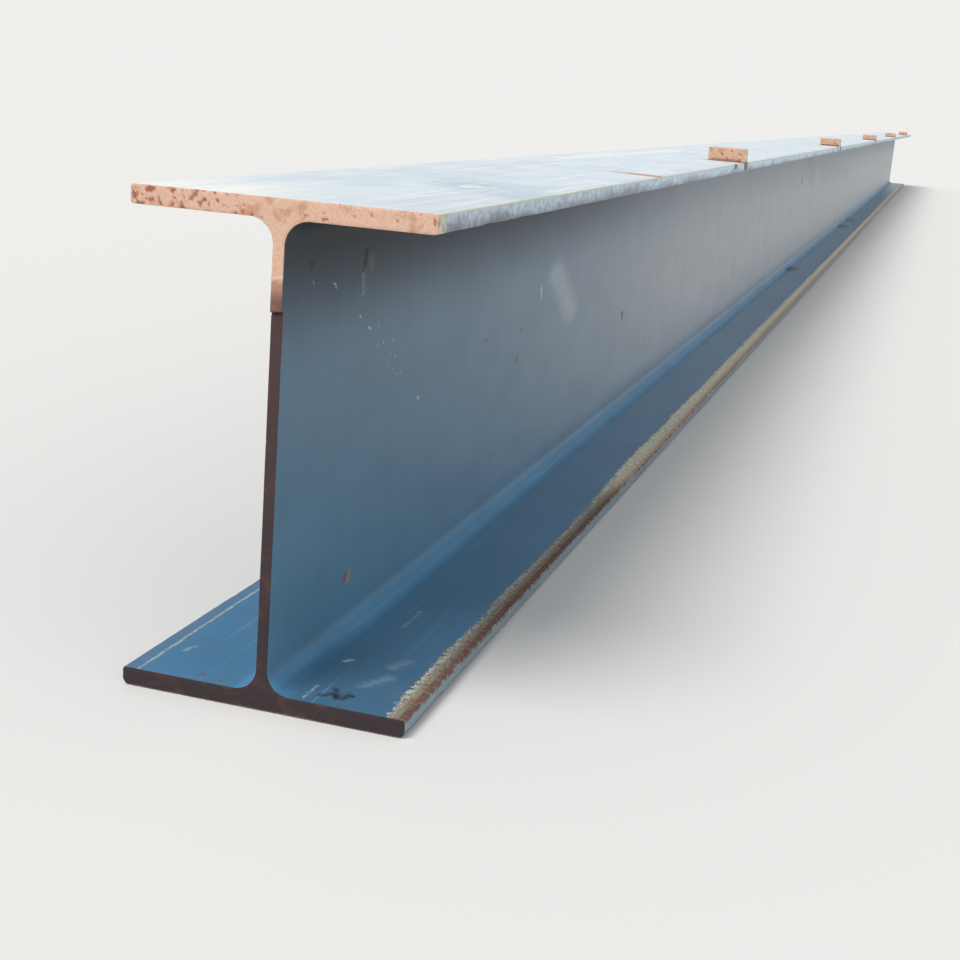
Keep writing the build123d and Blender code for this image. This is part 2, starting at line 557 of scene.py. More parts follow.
def finish_coat(coat, colours, layers, rust=0.0, rough=(), heights=()):
    """Lays the wear over the sound primer, burns it back along the cuts, and adds its shader.

    rust is where the wear is rust. rough and heights are more layers of (mask, value).
    """
    # Painted shade under the top flange, strongest near the cut; it also dulls the paint there.
    painted_under_flange_shade = product(ramp(coat.z, UNDER_FLANGE_SHADE_RISE), ramp(coat.along, UNDER_FLANGE_SHADE_RUN, (0.95, 0.12)))
    burnt_edge = total_of(coat.from_cut, product(coat.flaked, 0.35))
    burnt = ramp(burnt_edge, (2.2, 1.2), (0.0, 0.85))
    colour = layered(sound_primer(coat, colours, painted_under_flange_shade), [*layers, (burnt, colours.old_rust)])
    off_tips = ramp(coat.on_tip, (1, 0))
    dull = strongest(product(painted_under_flange_shade, off_tips), coat.in_root, coat.low_left)
    rusty = strongest(burnt, rust)
    roughness = layered_number(0.36, [(dull, 0.55), *rough, (rusty, 0.88)])
    sprayed = ramp(coat.fine, NOISE, (0.81, 0.83))
    height = layered_number(sprayed, [*heights, (rusty, product(coat.fine, 0.8))])
    sheen = {"IOR": 1.5, "Specular IOR Level": ramp(dull, MASK, (0.3, 0.12))}
    finish_material(coat.tree, colour, roughness, height, 0.4, **sheen)
    return coat.material


def web_primer(section, colours):
    """Alkyd primer sprayed on the rolled web, satin, then left outdoors for years.

    It gives the eye an even blue that painted reflection greys upwards and along the web, painted
    shade under the top flange by the cut, faint upright streaks, and the marks of chains and welding.
    """
    coat = start_coat("sprayed_primer_on_web", section)
    zone = stroke(coat.place, *(to_frame(section, p) for p in SPLATTER), 10, 26)
    splatter = product(zone, specks(coat.place, 7, 1.2), ramp(coat.fine, (0.44, 0.54)), 0.8)
    stray = product(coat.on_web, specks(coat.place, 60, 1.5), ramp(coat.mottle, (0.55, 0.6)), 0.5)
    layers = [
        (splatter, colours.cream),
        (stray, colours.cream),
        *freckle_layers(coat, colours),
        *mark_layers(coat, section, colours, WEB_MARKS, ramp(coat.across, (30, 20)), WEB_SQUEEZE),
    ]
    return finish_coat(coat, colours, layers)


def top_flange_primer(section, colours):
    """The same primer on the top flange, chalked by sun and rain.

    It gives the eye a pale powder with long scrapes on top and bluer chalk down the tips, painted
    lighter towards their top and along the beam, with a scraped upper arris, and rust round the blocks'
    feet.
    """
    coat = start_coat("sprayed_primer_on_top_flange", section)
    top, flakes, lengthwise = coat.top, coat.flakes, coat.lengthwise
    high_tip = product(coat.on_tip, ramp(coat.z, TOP_FLANGE_RISE))
    underside = section.depth - section.flange

    chalking = product(top, ramp(coat.mottle, (0.25, 0.7), (0.88, 1.0)))
    tip_height = total_of(coat.z, product(coat.flaked, 0.6), ramp(coat.mottle, NOISE, (-4, 4)))
    # Chalk on the top flange's tips, with painted light: lighter towards their upper edge as painted
    # shading, and lighter along the beam as painted reflection.
    tip_chalk_and_painted_light = product(
        high_tip,
        ramp(tip_height, (underside - 2, section.depth - 3), (0.22, 0.9)),
        ramp(coat.along, TIP_SHEEN_RUN, (0.86, 1.15)),
        ramp(flakes, (0.36, 0.6), (0.75, 1.1)),
    )
    scrapes = product(top, ramp(lengthwise, (0.56, 0.66)), 0.7)
    worn_corner = product(
        top,
        ramp(total_of(coat.along, product(coat.flaked, 5)), (230, 40)),
        ramp(total_of(coat.x, product(lengthwise, 120)), (130, -10)),
        ramp(lengthwise, (0.36, 0.56), (0.4, 1.0)),
    )
    arris_height = total_of(coat.z, product(coat.flaked, 0.15))
    arris = product(
        high_tip,
        ramp(arris_height, (section.depth - 3.2, section.depth - 2.0)),
        ramp(coat.drags, (0.35, 0.6), (0.45, 0.9)),
    )
    from_burn = total_of(coat.from_cut, product(coat.flaked, 1.6))
    stained_corner = product(high_tip, ramp(from_burn, (27, 18)), ramp(flakes, (0.3, 0.55), (0.5, 1.0)))
    chips = product(high_tip, ramp(coat.z, (underside + 5, underside + 1.5)), ramp(flakes, (0.6, 0.66)))
    layers = [
        (chalking, colours.chalk),
        (tip_chalk_and_painted_light, colours.tip_chalk),
        (scrapes, colours.scrape),
        (worn_corner, colours.scrape),
        (arris, colours.cream),
        (stained_corner, mixed_film(coat, colours)),
        (chips, colours.dirt),
        *freckle_layers(coat, colours),
        *mark_layers(coat, section, colours, TOP_MARKS, top),
        (block_halo(section, coat.shaken, top), mixed_rust(coat, colours)),
        (block_drips(section, coat.shaken, high_tip), colours.old_rust),
    ]
    rough = [(chalking, 0.6), (tip_chalk_and_painted_light, 0.6)]
    return finish_coat(coat, colours, layers, rough=rough, heights=[(scrapes, 0.74)])


def bottom_flange_primer(section, colours):
    """The same primer on the bottom flange, under the top flange and dragged over the ground.

    It gives the eye the bluest paint, much of it painted skylight, broken at the right edge into a
    pale film, stained film and brown rust, with chipped tips and rust on the face that lay on the
    ground. Past the first metre the film is painted wider and paler, as painted sunlight.
    """
    coat = start_coat("sprayed_primer_on_bottom_flange", section)
    flakes, fine, mottle, flaked = coat.flakes, coat.fine, coat.mottle, coat.flaked
    low_right, low_left, low_top = coat.low_right, coat.low_left, coat.low_top
    # Painted sunlight past the first metre: the film there is painted wider, paler and less stained, as
    # sun made it look.
    rust, painted_sun_on_film = mixed_rust(coat, colours), ramp(coat.along, PAINTED_SUN_RUN)
    dragged = sway(coat.drags, 5.0)

    # Right edge: the film dissolves inwards in grains
    film_place = total_of(coat.inward, dragged, ramp(mottle, NOISE, (-2.0, 2.0)), product(painted_sun_on_film, -7.0))
    film_share = total_of(flakes, ramp(film_place, FILM_FADE, (-0.26, 0.22)))
    film = product(
        low_right,
        ramp(film_share, (0.46, 0.53)),
        ramp(fine, (0.4, 0.5), (0.3, 1.0)),
        ramp(film_place, FILM_LIMIT),
    )
    sunlit_film = product(film, painted_sun_on_film, ramp(flakes, (0.3, 0.5), (0.6, 1.0)))
    stain_place = total_of(coat.inward, product(flaked, 1.6), product(dragged, 0.2))
    stained = product(low_right, ramp(stain_place, STAIN_REACH), ramp(painted_sun_on_film, MASK, (0.8, 0.2)))
    stain_colour = layered(colours.olive, [(ramp(fine, (0.38, 0.64), (0.1, 0.75)), colours.old_rust)])
    rust_specks = product(film, ramp(flakes, (0.5, 0.6)), ramp(painted_sun_on_film, MASK, (0.75, 0.35)))
    speck_colour = layered(colours.old_rust, [(painted_sun_on_film, colours.sunlit_rust)])
    rust_place = total_of(coat.inward, product(flaked, 0.5), product(dragged, 0.12))
    edge_rust = product(
        low_right,
        ramp(rust_place, RUST_REACH),
        ramp(painted_sun_on_film, MASK, (0.9, 0.7)),
        ramp(flakes, (0.34, 0.5), (0.5, 1.0)),
    )
    band_rust = layered(rust, [(product(painted_sun_on_film, 0.75), colours.sunlit_rust)])

    # Left edge: only the film's thin line, with greyed primer beyond it
    line = near_to(rust_place, LEFT_LINE_INWARD, LEFT_LINE_HALF_WIDTH)
    left_line = product(low_left, line, ramp(fine, (0.35, 0.6), (0.25, 0.6)))
    left_dust = product(low_left, ramp(rust_place, DUST_REACH), 0.5)

    # Tips and underside
    low_tip = product(coat.on_tip, coat.low_flange)
    worn_tip = product(low_tip, ramp(mottle, NOISE, (0.6, 0.95)))
    chip_height = total_of(coat.z, product(flaked, 0.5))
    upper_chips = product(
        low_tip, ramp(chip_height, (section.flange - 4, section.flange - 2.5)), ramp(flakes, (0.42, 0.52))
    )
    round_chips = product(low_tip, specks(coat.place, 15, 1.7), ramp(coat.z, (6, 9)))
    ground_wear = product(coat.on_tip, ramp(coat.z, (7, 2)), ramp(flakes, (0.42, 0.58)))
    under_rust = product(
        ramp(coat.up, (-0.7, -0.95)), ramp(coat.z, (30, 10)), ramp(mottle, (0.4, 0.6), (0.3, 0.85))
    )
    scrapes = product(low_top, ramp(coat.lengthwise, (0.62, 0.74)), 0.12)
    layers = [
        (scrapes, colours.chalk),
        (worn_tip, colours.tip_grey),
        (left_dust, colours.primer_grey),
        (left_line, colours.cream),
        (film, mixed_film(coat, colours)),
        (sunlit_film, colours.sunlit_film),
        (stained, stain_colour),
        (rust_specks, speck_colour),
        (edge_rust, band_rust),
        (strongest(upper_chips, round_chips), colours.old_rust),
        (ground_wear, rust),
        *freckle_layers(coat, colours),
        (under_rust, rust),
        *mark_layers(coat, section, colours, BOTTOM_MARKS, low_top),
    ]
    scaly = ramp(flakes, (0.4, 0.6), (0.7, 0.83))
    rusty = strongest(edge_rust, stained)
    return finish_coat(coat, colours, layers, rusty, [(film, 0.7)], [(film, scaly)])


def near_block(section, place):
    """The point on the surface measured from the nearest block's centre on the flange's top."""
    lows, highs = zip(*(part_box(name) for name in BLOCK_NODES))
    centres = [(low + high) / 2 / MM for low, high in zip(lows, highs)]
    spacing = centres[1].y - centres[0].y
    tree = place.id_data
    x, y, z = add(tree, "SeparateXYZ", {0: place}).node.outputs
    inputs = {0: total_of(y, -centres[0].y), 1: spacing / 2, 2: -spacing / 2}
    wrapped = add(tree, "Math", inputs, operation="WRAP")
    first, last = centres[0].y - spacing / 2, centres[-1].y + spacing / 2
    present = product(ramp(y, (first - 1, first)), ramp(y, (last, last - 1)))
    from_centre, from_top = total_of(x, -centres[0].x), total_of(z, -section.depth)
    return add(tree, "CombineXYZ", {0: from_centre, 1: wrapped, 2: from_top}), present


def block_drips(section, place, tip):
    """Rust washed from each block down the flange's tip, and its dark foot."""
    moved, present = near_block(section, place)
    inputs = {0: moved, 1: DRIP_SQUEEZE}
    squeezed = add(place.id_data, "VectorMath", inputs, operation="MULTIPLY")
    low, high = (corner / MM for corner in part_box(BLOCK_NODES[0]))
    edge = section.half - (low.x + high.x) / 2
    drops = []
    for start, end, width in DRIPS:
        ends = [Vector((edge, *p)) * Vector(DRIP_SQUEEZE) for p in (start, end)]
        drops.append(stroke(squeezed, *ends, width, 3))
    return product(total_of(*drops), present, tip, 0.85)


def block_halo(section, place, top):
    """Rust that has crept out round each block's foot."""
    moved, present = near_block(section, place)
    tree = place.id_data
    flat = add(tree, "VectorMath", {0: moved, 1: HALO_SQUEEZE}, operation="MULTIPLY")
    away = add(tree, "VectorMath", {0: flat}, "Value", operation="LENGTH")
    return product(ramp(away, HALO_REACH), present, top, 0.5)


def rust_colours(place, base, rust, pits, pit_colour):
    """Dry rust: clouds of base and rust with a fine tooth, and darker pits."""
    clouds = grain(place, (16, 16, 16), 4)
    tooth = grain(place, (2.2, 2.2, 2.2), 3)
    colour = layered(base, [(ramp(clouds, (0.52, 0.68), (0.0, 0.5)), rust)])
    inputs = {"Color": colour, "Value": ramp(tooth, NOISE, (0.9, 1.08))}
    colour = add(place.id_data, "HueSaturation", inputs)
    return layered(colour, [(pits, pit_colour)]), tooth


def cut_face_material(section, colours):
    """Mild steel cut with a gas torch and rusted dry.

    It gives the eye pale salmon rust with red-brown pits, a thin pale line where the cut
    slowed, a darker band above the lip that is partly painted shade, and the lower pass's darker
    skin of old scale, with painted shade on it that deepens towards its foot.
    """
    material, tree, place = start_material("torch_cut_steel_rusted")
    x, _, z = add(tree, "SeparateXYZ", {0: place}).node.outputs
    pits = add(tree, "Attribute", output="Fac", attribute_name="pits")
    wander = product(grain(place, (8, 30, 60), 2), 6)
    height_on_cut = total_of(z, wander, product(x, -KERF_SLOPE), -3)
    low = ramp(height_on_cut, (section.step_height + 1, section.step_height - 1))
    # Heat tint and painted shade: darker towards the lip.
    heat_and_painted_shade = ramp(height_on_cut, CUT_HEAT_AND_SHADE_RISE, (0.0, 0.95))
    # Painted shade: the lower pass darkens towards its foot.
    foot = ramp(z, CUT_SHADE_RISE, (0.0, 0.95))
    slow_line = near_to(height_on_cut, CUT_LINE_HEIGHT, (2.4, 0.9), 0.6)
    scale = grain(place, (30, 30, 9), 4)
    base = layered(
        colours.cut_rust,
        [
            (heat_and_painted_shade, colours.cut_heat_and_shade),
            (low, colours.low_cut_rust_and_shade),
            (product(low, foot), colours.low_cut_shade),
            (product(low, ramp(scale, (0.55, 0.75), (0.0, 0.3))), colours.low_cut_scale),
        ],
    )
    deep = product(pits, ramp(low, MASK, (0.9, 0.3)))
    pitted, tooth = rust_colours(place, base, colours.rust, deep, colours.pit)
    dry = ramp(low, (1.0, 0.0), (0.12, 1.0))
    arris_height = total_of(z, product(scale, 3))
    arris = product(low, ramp(arris_height, (3.6, 2.2)), 0.45)
    layers = [(dry, pitted), (slow_line, colours.cut_line), (arris, colours.low_cut_arris)]
    roughness = layered_number(0.82, [(pits, 0.95)])
    finish_material(tree, layered(base, layers), roughness, tooth, 0.3)
    return material


def block_material(colours):
    """Plate sawn into blocks and left bare, so that it rusted through and pitted.

    It gives the eye dry orange rust peppered with dark pits, and a pale smear on the side
    that looks out over the flange's edge.
    """
    material, tree, place = start_material("bare_plate_rusted")
    pits = add(tree, "Attribute", output="Fac", attribute_name="pits")
    colour, tooth = rust_colours(place, colours.block_rust, colours.rust, pits, colours.block_pit)
    normal = add(tree, "NewGeometry", output="Normal")
    outward = add(tree, "SeparateXYZ", {0: normal}, "X")
    patches = ramp(grain(place, (10, 16, 7), 3), (0.42, 0.56))
    smear = product(ramp(outward, (0.6, 0.9)), patches, 0.8)
    colour = layered(colour, [(smear, colours.block_smear)])
    roughness = layered_number(0.85, [(pits, 0.96)])
    finish_material(tree, colour, roughness, tooth, 0.4)
    return material


def weld_material(colours):
    """Stick-weld metal that went brown and purple as it cooled, then rusted.

    It gives the eye a low pinkish ridge with dark purple toes.
    """
    material, tree, place = start_material("weld_metal_rusted")
    clouds = grain(place, (9, 9, 9), 3)
    tooth = grain(place, (1.6, 1.6, 1.6), 2)
    dark = ramp(clouds, (0.48, 0.6), (0.0, 0.85))
    colour = layered(colours.weld, [(dark, colours.weld_toe)])
    finish_material(tree, colour, ramp(tooth, NOISE, (0.6, 0.85)), tooth, 0.25)
    return material


def line(start, end):
    """A straight run of an outline, as a function of 0 to 1, and its length."""
    (x0, z0), (x1, z1) = start, end
    return lambda t: (x0 + (x1 - x0) * t, z0 + (z1 - z0) * t), math.dist(start, end)


def arc(centre, radius, start, end):
    """A round run of an outline, from one angle to another in degrees, and its length."""
    a, b = math.radians(start), math.radians(end)

    def at(t):
        angle = a + (b - a) * t
        return centre[0] + radius * math.cos(angle), centre[1] + radius * math.sin(angle)

    return at, abs(b - a) * radius


def right_half(s):
    """Runs up the section's right half, from the bottom's middle to the top's, with steps."""
    web, under = s.web / 2, s.depth - s.flange
    return [
        (line((0, 0), (s.half - s.worn, 0)), 3),
        (arc((s.half - s.worn, s.worn), s.worn, -90, 0), 4),
        (line((s.half, s.worn), (s.half, s.flange - s.toe)), 2),
        (arc((s.half - s.toe, s.flange - s.toe), s.toe, 0, 90), 2),
        (line((s.half - s.toe, s.flange), (web + s.root, s.flange)), 4),
        (arc((web + s.root, s.flange + s.root), s.root, 270, 180), 6),
        (line((web, s.flange + s.root), (web, under - s.root)), 7),
        (arc((web + s.root, under - s.root), s.root, 180, 90), 6),
        (line((web + s.root, under), (s.half - s.toe, under)), 4),
        (arc((s.half - s.toe, under + s.toe), s.toe, -90, 0), 2),
        (line((s.half, under + s.toe), (s.half, s.depth - s.toe)), 2),
        (arc((s.half - s.toe, s.depth - s.toe), s.toe, 0, 90), 2),
        (line((s.half - s.toe, s.depth), (0, s.depth)), 3),
    ]


def section_outline(s, finest):
    """Points round the section at most finest mm apart, and which of them the body keeps."""
    right, kept = [], []
    for (run, length), steps in right_half(s):
        finer = max(1, math.ceil(length / steps / finest))
        kept += [len(right) + finer * i for i in range(steps)]
        right += [run(i / (steps * finer)) for i in range(steps * finer)]
    count = len(right)
    points = [*right, (0.0, s.depth), *((-x, z) for x, z in reversed(right[1:]))]
    kept += [count, *(2 * count - i for i in reversed(kept[1:]))]
    return np.array(points), kept


def smooth(value, low, high):
    """Runs smoothly from 0 at low to 1 at high."""
    t = min(1.0, max(0.0, (value - low) / (high - low)))
    return t * t * (3 - 2 * t)


def pitting(x, z, size, cover):
    """How deep a rust pit is here, from 0 to 1. size is a pit's spacing in mm."""
    spot = Vector((x, z, 3.0)) / size
    level = noise.noise(spot) + 0.5 * noise.noise(spot * 2.1)
    return smooth(level, 0.75 - cover, 0.95 - cover)


DRAG_PITCH = 3.4  # mm between the torch's drag lines
DRAG_LAG = 0.02  # how they bow, in mm for each square mm away from the cut's middle
CUT_SKIN = 0.3  # mm that the whole cut lies back
DRAG_DEPTH = 0.15
WAVE_SIZE, WAVE_DEPTH = 40, 0.3
GRIT_SIZE, GRIT_DEPTH = 2.6, 0.14
CUT_PIT, CUT_PIT_DEPTH = 5.0, 0.7
LIP_GROOVE = 1.5  # how deep the metal melted away under the lip


def cut_relief(s, x, z, sign):
    """(how far the torch cut lies back in mm, how pitted it is) at a point of an end face."""
    over_web = s.root < z - s.flange and z < s.depth - s.flange - s.root
    travel = z if over_web else x
    through = x if over_web else z - (0 if z < s.flange * 2 else s.depth - s.flange)
    drag = math.sin(2 * math.pi * (travel + DRAG_LAG * through * through) / DRAG_PITCH + sign)
    wave = noise.noise(Vector((x / WAVE_SIZE, z / WAVE_SIZE, 5 * sign))) + 1
    grit = noise.noise(Vector((x / GRIT_SIZE, z / GRIT_SIZE, 9 * sign))) + 1
    patch = noise.noise(Vector((x / 34, z / 20, 2 * sign)))
    cover = 0.16 + 0.25 * patch
    if z > s.depth - 2 * s.flange:
        cover += 0.42 * smooth(-x, 45, 75)
    elif z > s.step_height:
        cover -= 0.1
    pit = pitting(x, z + 400 * sign, CUT_PIT, cover)
    depth = CUT_SKIN + DRAG_DEPTH * drag + WAVE_DEPTH * wave + GRIT_DEPTH * grit + CUT_PIT_DEPTH * pit
    if sign < 0:
        kerf = s.step_height + KERF_SLOPE * x
        depth += s.setback * (1 - smooth(z, kerf - 0.4, kerf + 0.6))
        depth += LIP_GROOVE * (1 - smooth(abs(z - kerf + 0.8), 0.5, 1.4))
    return depth, pit


KNOCK_SIZE, KNOCK_DEPTH = (23, 9), 1.0  # mm along the toe and up it
DENT_SIZE, DENT_DEPTH = (110, 30), 0.8


def edge_wear(s, points, outward, y):
    """Each point of a ring moved in a little, where the flange toes were knocked."""
    moved = points.copy()
    for i, (x, z) in enumerate(points):
        if abs(x) < s.half - 2 * s.toe:
            continue
        side = math.copysign(300, x) + (900 if z > s.depth / 2 else 0)
        knock = noise.noise(Vector((y / KNOCK_SIZE[0], z / KNOCK_SIZE[1], side))) - 0.12
        dent = noise.noise(Vector((y / DENT_SIZE[0], z / DENT_SIZE[1], side + 50))) - 0.25
        moved[i] -= outward[i] * (KNOCK_DEPTH * max(0.0, knock) + DENT_DEPTH * max(0.0, dent))
    return moved


def body_stations(s, first):
    """Distances from the near end at which the body has a ring, closer near the cuts."""
    near, y = [], first
    while y < s.length / 2 - 12:
        near.append(y)
        y += min(6 + 0.02 * y, 25)
    return [*near, *(s.length - y for y in reversed(near))]


def outward_directions(points):
    """Unit directions out of a closed outline at each of its points."""
    step = np.roll(points, -1, 0) - np.roll(points, 1, 0)
    away = np.stack([step[:, 1], -step[:, 0]], 1)
    return away / np.linalg.norm(away, axis=1)[:, None]


END_RINGS = (1.0, 2.6, 6.0, 12.0, 20.0)  # mm from the cut, each with the fine outline
BODY_START = 30.0
OUTLINE_STEP = 2.0
ARRIS, ARRIS_RAGGED = 0.45, 0.9  # how far the cut's edge is melted in, at least and more
FACE_GRID = 1.7
WEB_COAT, TOP_COAT, BOTTOM_COAT, CUT_FACE = range(4)  # material slots
BOTTOM_COAT_RISE = 14  # mm that the bottom flange's coat climbs up its roots
NUDGE = 0.05

# The bake map: the end faces lie in its first strip, the painted skin above it, and each ring
# of an end takes one row
SKIN_START, SKIN_SHARE = 0.2, 0.8
FACE_WIDTH, FACE_HEIGHT = 0.49, 0.19
RING_ROW = 0.004


class BeamMesh:
    """Gathers the beam's points, faces, pits and bake map."""

    def __init__(self, section):
        self.s = section
        self.fine, self.kept = section_outline(section, OUTLINE_STEP)
        self.fine_out = outward_directions(self.fine)
        self.coarse = self.fine[self.kept]
        self.coarse_out = outward_directions(self.coarse)
        self.points, self.pits, self.faces, self.slots, self.map = [], [], [], [], []
        girth = np.linalg.norm(np.roll(self.fine, -1, 0) - self.fine, axis=1)
        self.skin = np.append(0, np.cumsum(girth)) / girth.sum() * SKIN_SHARE + SKIN_START

    def add_points(self, points, ys, pits=None):
        """Adds points (x, z) at ys from the near end, and returns the first one's place."""
        first = len(self.points)
        middle = self.s.length / 2
        self.points += [(x, y - middle, z) for (x, z), y in zip(points, ys)]
        self.pits += [0.0] * len(points) if pits is None else list(pits)
        return first

    def add_face(self, corners, slot, uv):
        """Adds a face. A slot of None asks for the coat of paint that belongs there."""
        self.faces.append(corners)
        self.slots.append(self.coat(corners) if slot is None else slot)
        self.map += uv

    def coat(self, corners):
        """The coat on a painted face. The coats meet where neither has wear of its own."""
        height = sum(self.points[i][2] for i in corners) / len(corners)
        if height < self.s.flange + BOTTOM_COAT_RISE:
            return BOTTOM_COAT
        return TOP_COAT if height > self.s.depth - self.s.flange - NUDGE else WEB_COAT

    def join_rings(self, a, b, count, slot, skin, row):
        """Quads between two rings of the same outline. row is their two places in the map."""
        for i in range(count):
            j = (i + 1) % count
            uv = [(row[0], skin[i]), (row[1], skin[i]), (row[1], skin[i + 1]), (row[0], skin[i + 1])]
            self.add_face([a + i, b + i, b + j, a + j], slot, uv)

    def cut_end(self, sign):
        """A torch-cut end face and its fine rings. sign is -1 at the near end, 1 at the far."""
        s, count = self.s, len(self.fine)

        def real(distance):
            return distance if sign < 0 else s.length - distance

        relief = [cut_relief(s, x, z, sign) for x, z in self.fine]
        teeth = [max(0.0, noise.noise(Vector((x / 5, z / 5, 4 * sign)))) for x, z in self.fine]
        arris = self.fine - self.fine_out * (ARRIS + ARRIS_RAGGED * np.array(teeth)[:, None])
        rings = [self.add_points(arris, [real(d + 0.25) for d, _ in relief], [p for _, p in relief])]
        for distance in END_RINGS:
            ys = [real(d + distance * (1 - d / BODY_START)) for d, _ in relief]
            worn = edge_wear(s, self.fine, self.fine_out, real(distance))
            rings.append(self.add_points(worn, ys))
        for k, (a, b) in enumerate(zip(rings, rings[1:])):
            first, second = (a, b) if sign < 0 else (b, a)
            row = [RING_ROW * k, RING_ROW * (k + 1)]
            if sign > 0:
                row = [1 - row[1], 1 - row[0]]
            self.join_rings(first, second, count, CUT_FACE if k == 0 else None, self.skin, row)
        self.cap(arris, rings[0], sign)
        return rings[-1]

    def cap(self, outline, ring, sign):
        """Fills an end with small triangles that carry the cut's relief and pits."""
        s = self.s
        xs = np.arange(-s.half, s.half, FACE_GRID)
        zs = np.arange(0, s.depth, FACE_GRID)
        grid = np.stack(np.meshgrid(xs, zs), -1).reshape(-1, 2)
        in_flange = (grid[:, 1] < s.flange) | (grid[:, 1] > s.depth - s.flange)
        grid = grid[in_flange | (np.abs(grid[:, 0]) < s.web / 2 + s.root)]
        gaps = np.array([np.min(np.sum((outline - p) ** 2, 1)) for p in grid])
        grid = grid[gaps > (0.75 * FACE_GRID) ** 2]
        flat = [Vector(p) for p in outline] + [Vector(p) for p in grid]
        count = len(outline)
        found = delaunay_2d_cdt(flat, [], [list(range(count))], 1, 1e-4)
        corners, triangles, origins = found[0], found[2], found[3]
        places = {}
        for i, (p, origin) in enumerate(zip(corners, origins)):
            if origin and min(origin) < count:
                places[i] = ring + min(origin)
                continue
            depth, pit = cut_relief(s, p.x, p.y, sign)
            y = depth if sign < 0 else s.length - depth
            places[i] = self.add_points([p], [y], [pit])
        shift = 0.0 if sign < 0 else 0.5
        for triangle in triangles:
            corner_list = triangle if sign < 0 else triangle[::-1]
            uv = [
                (
                    shift + FACE_WIDTH * corners[i].y / s.depth,
                    FACE_HEIGHT * (corners[i].x / s.half + 1) / 2,
                )
                for i in corner_list
            ]
            self.add_face([places[i] for i in corner_list], CUT_FACE, uv)

    def body(self, near_ring, far_ring):
        """The long painted body between the two ends' fine rings."""
        s, count = self.s, len(self.coarse)
        rings = []
        for y in body_stations(s, BODY_START):
            worn = edge_wear(s, self.coarse, self.coarse_out, y)
            rings.append(self.add_points(worn, [y] * count))
        skin = [self.skin[i] for i in [*self.kept, len(self.fine)]]
        start = RING_ROW * len(END_RINGS)
        rows = np.linspace(start, 1 - start, len(rings) + 2)
        for k, (a, b) in enumerate(zip(rings, rings[1:])):
            self.join_rings(a, b, count, None, skin, rows[k + 1 : k + 3])
        self.join_to_fine(near_ring, rings[0], rows[:2])
        self.join_to_fine(far_ring, rings[-1], rows[:-3:-1])

    def join_to_fine(self, fine_ring, body_ring, row):
        """Faces from a fine ring to the body's ring, which keeps only some of its points."""
        count, total = len(self.kept), len(self.fine)
        near = row[0] < row[1]
        for i, start in enumerate(self.kept):
            end = self.kept[i + 1] if i + 1 < count else total
            fine = list(range(start, end + 1))
            pair = [body_ring + i, body_ring + (i + 1) % count]
            corners = [*(fine_ring + j % total for j in reversed(fine)), *pair]
            uv = [(row[0], self.skin[j]) for j in reversed(fine)]
            uv += [(row[1], self.skin[start]), (row[1], self.skin[end])]
            if not near:
                corners, uv = corners[::-1], uv[::-1]
            self.add_face(corners, None, uv)


def make_object(name, points, faces, slots, materials, pits):
    """A mesh object from points in mm, with its pits kept for the materials."""
    mesh = bpy.data.meshes.new(name)
    mesh.from_pydata([Vector(p) * MM for p in points], [], faces)
    for material in materials:
        mesh.materials.append(material)
    mesh.polygons.foreach_set("material_index", slots)
    attribute = mesh.attributes.new("pits", "FLOAT", "POINT")
    attribute.data.foreach_set("value", pits)
    mesh.update()
    mesh.shade_smooth()
    mesh.set_sharp_from_angle(angle=math.radians(38))
    made = bpy.data.objects.new(name, mesh)
    bpy.context.scene.collection.objects.link(made)
    return made


PLATE_STEP = 2.3  # mm between a block's points
PLATE_PIT, PLATE_PIT_DEPTH = 4.5, 0.75
PLATE_GRIT, PLATE_GRIT_DEPTH = 3.1, 0.10


def lattice(half, radius):
    """Cuts along one side of a block, closer at its rounded edges."""
    inner = half - radius
    count = max(2, round(2 * inner / PLATE_STEP))
    flat = [-inner + 2 * inner * i / count for i in range(count + 1)]
    return [-half, -half + 0.35 * radius, *flat, half - 0.35 * radius, half]


def block_plate(half, radius, seed):
    """A rusted block around the origin: points, faces and pits. half is its half sizes in mm."""
    cuts = [lattice(h, radius) for h in half]
    last = [len(c) - 1 for c in cuts]
    index, points, pits, faces = {}, [], [], []

    def point(key):
        if key not in index:
            raw = Vector(cuts[a][key[a]] for a in range(3))
            core = Vector(max(radius - h, min(h - radius, c)) for c, h in zip(raw, half))
            away = (raw - core).normalized()
            flat = core + away * radius
            side = max(range(3), key=lambda a: abs(away[a]))
            u, v = (flat[a] for a in range(3) if a != side)
            patch = noise.noise(Vector((u / 30, v / 18, seed + side)))
            pit = pitting(u + 50 * seed, v + 90 * side, PLATE_PIT, 0.34 + 0.25 * patch)
            grit = noise.noise(flat / PLATE_GRIT + Vector((0, 0, seed))) + 1
            flat -= away * (PLATE_GRIT_DEPTH * grit + PLATE_PIT_DEPTH * pit)
            index[key] = len(points)
            points.append(flat)
            pits.append(pit)
        return index[key]

    for axis in range(3):
        b, c = (axis + 1) % 3, (axis + 2) % 3
        for end in (0, last[axis]):
            for i in range(last[b]):
                for j in range(last[c]):
                    corners = []
                    for di, dj in ((0, 0), (1, 0), (1, 1), (0, 1)):
                        key = [0, 0, 0]
                        key[axis], key[b], key[c] = end, i + di, j + dj
                        corners.append(point(tuple(key)))
                    faces.append(corners if end else corners[::-1])
    return points, faces, pits


BEAD_STEP = 1.3  # mm between a weld bead's rings
BEAD_SIDES = 8
RIPPLE_PITCH = 3.1  # mm between its ripples
BEAD_BODY, RIPPLE_DEPTH, BEAD_WANDER, BEAD_LIMIT = 0.78, 0.07, 0.09, 0.995  # shares of the leg


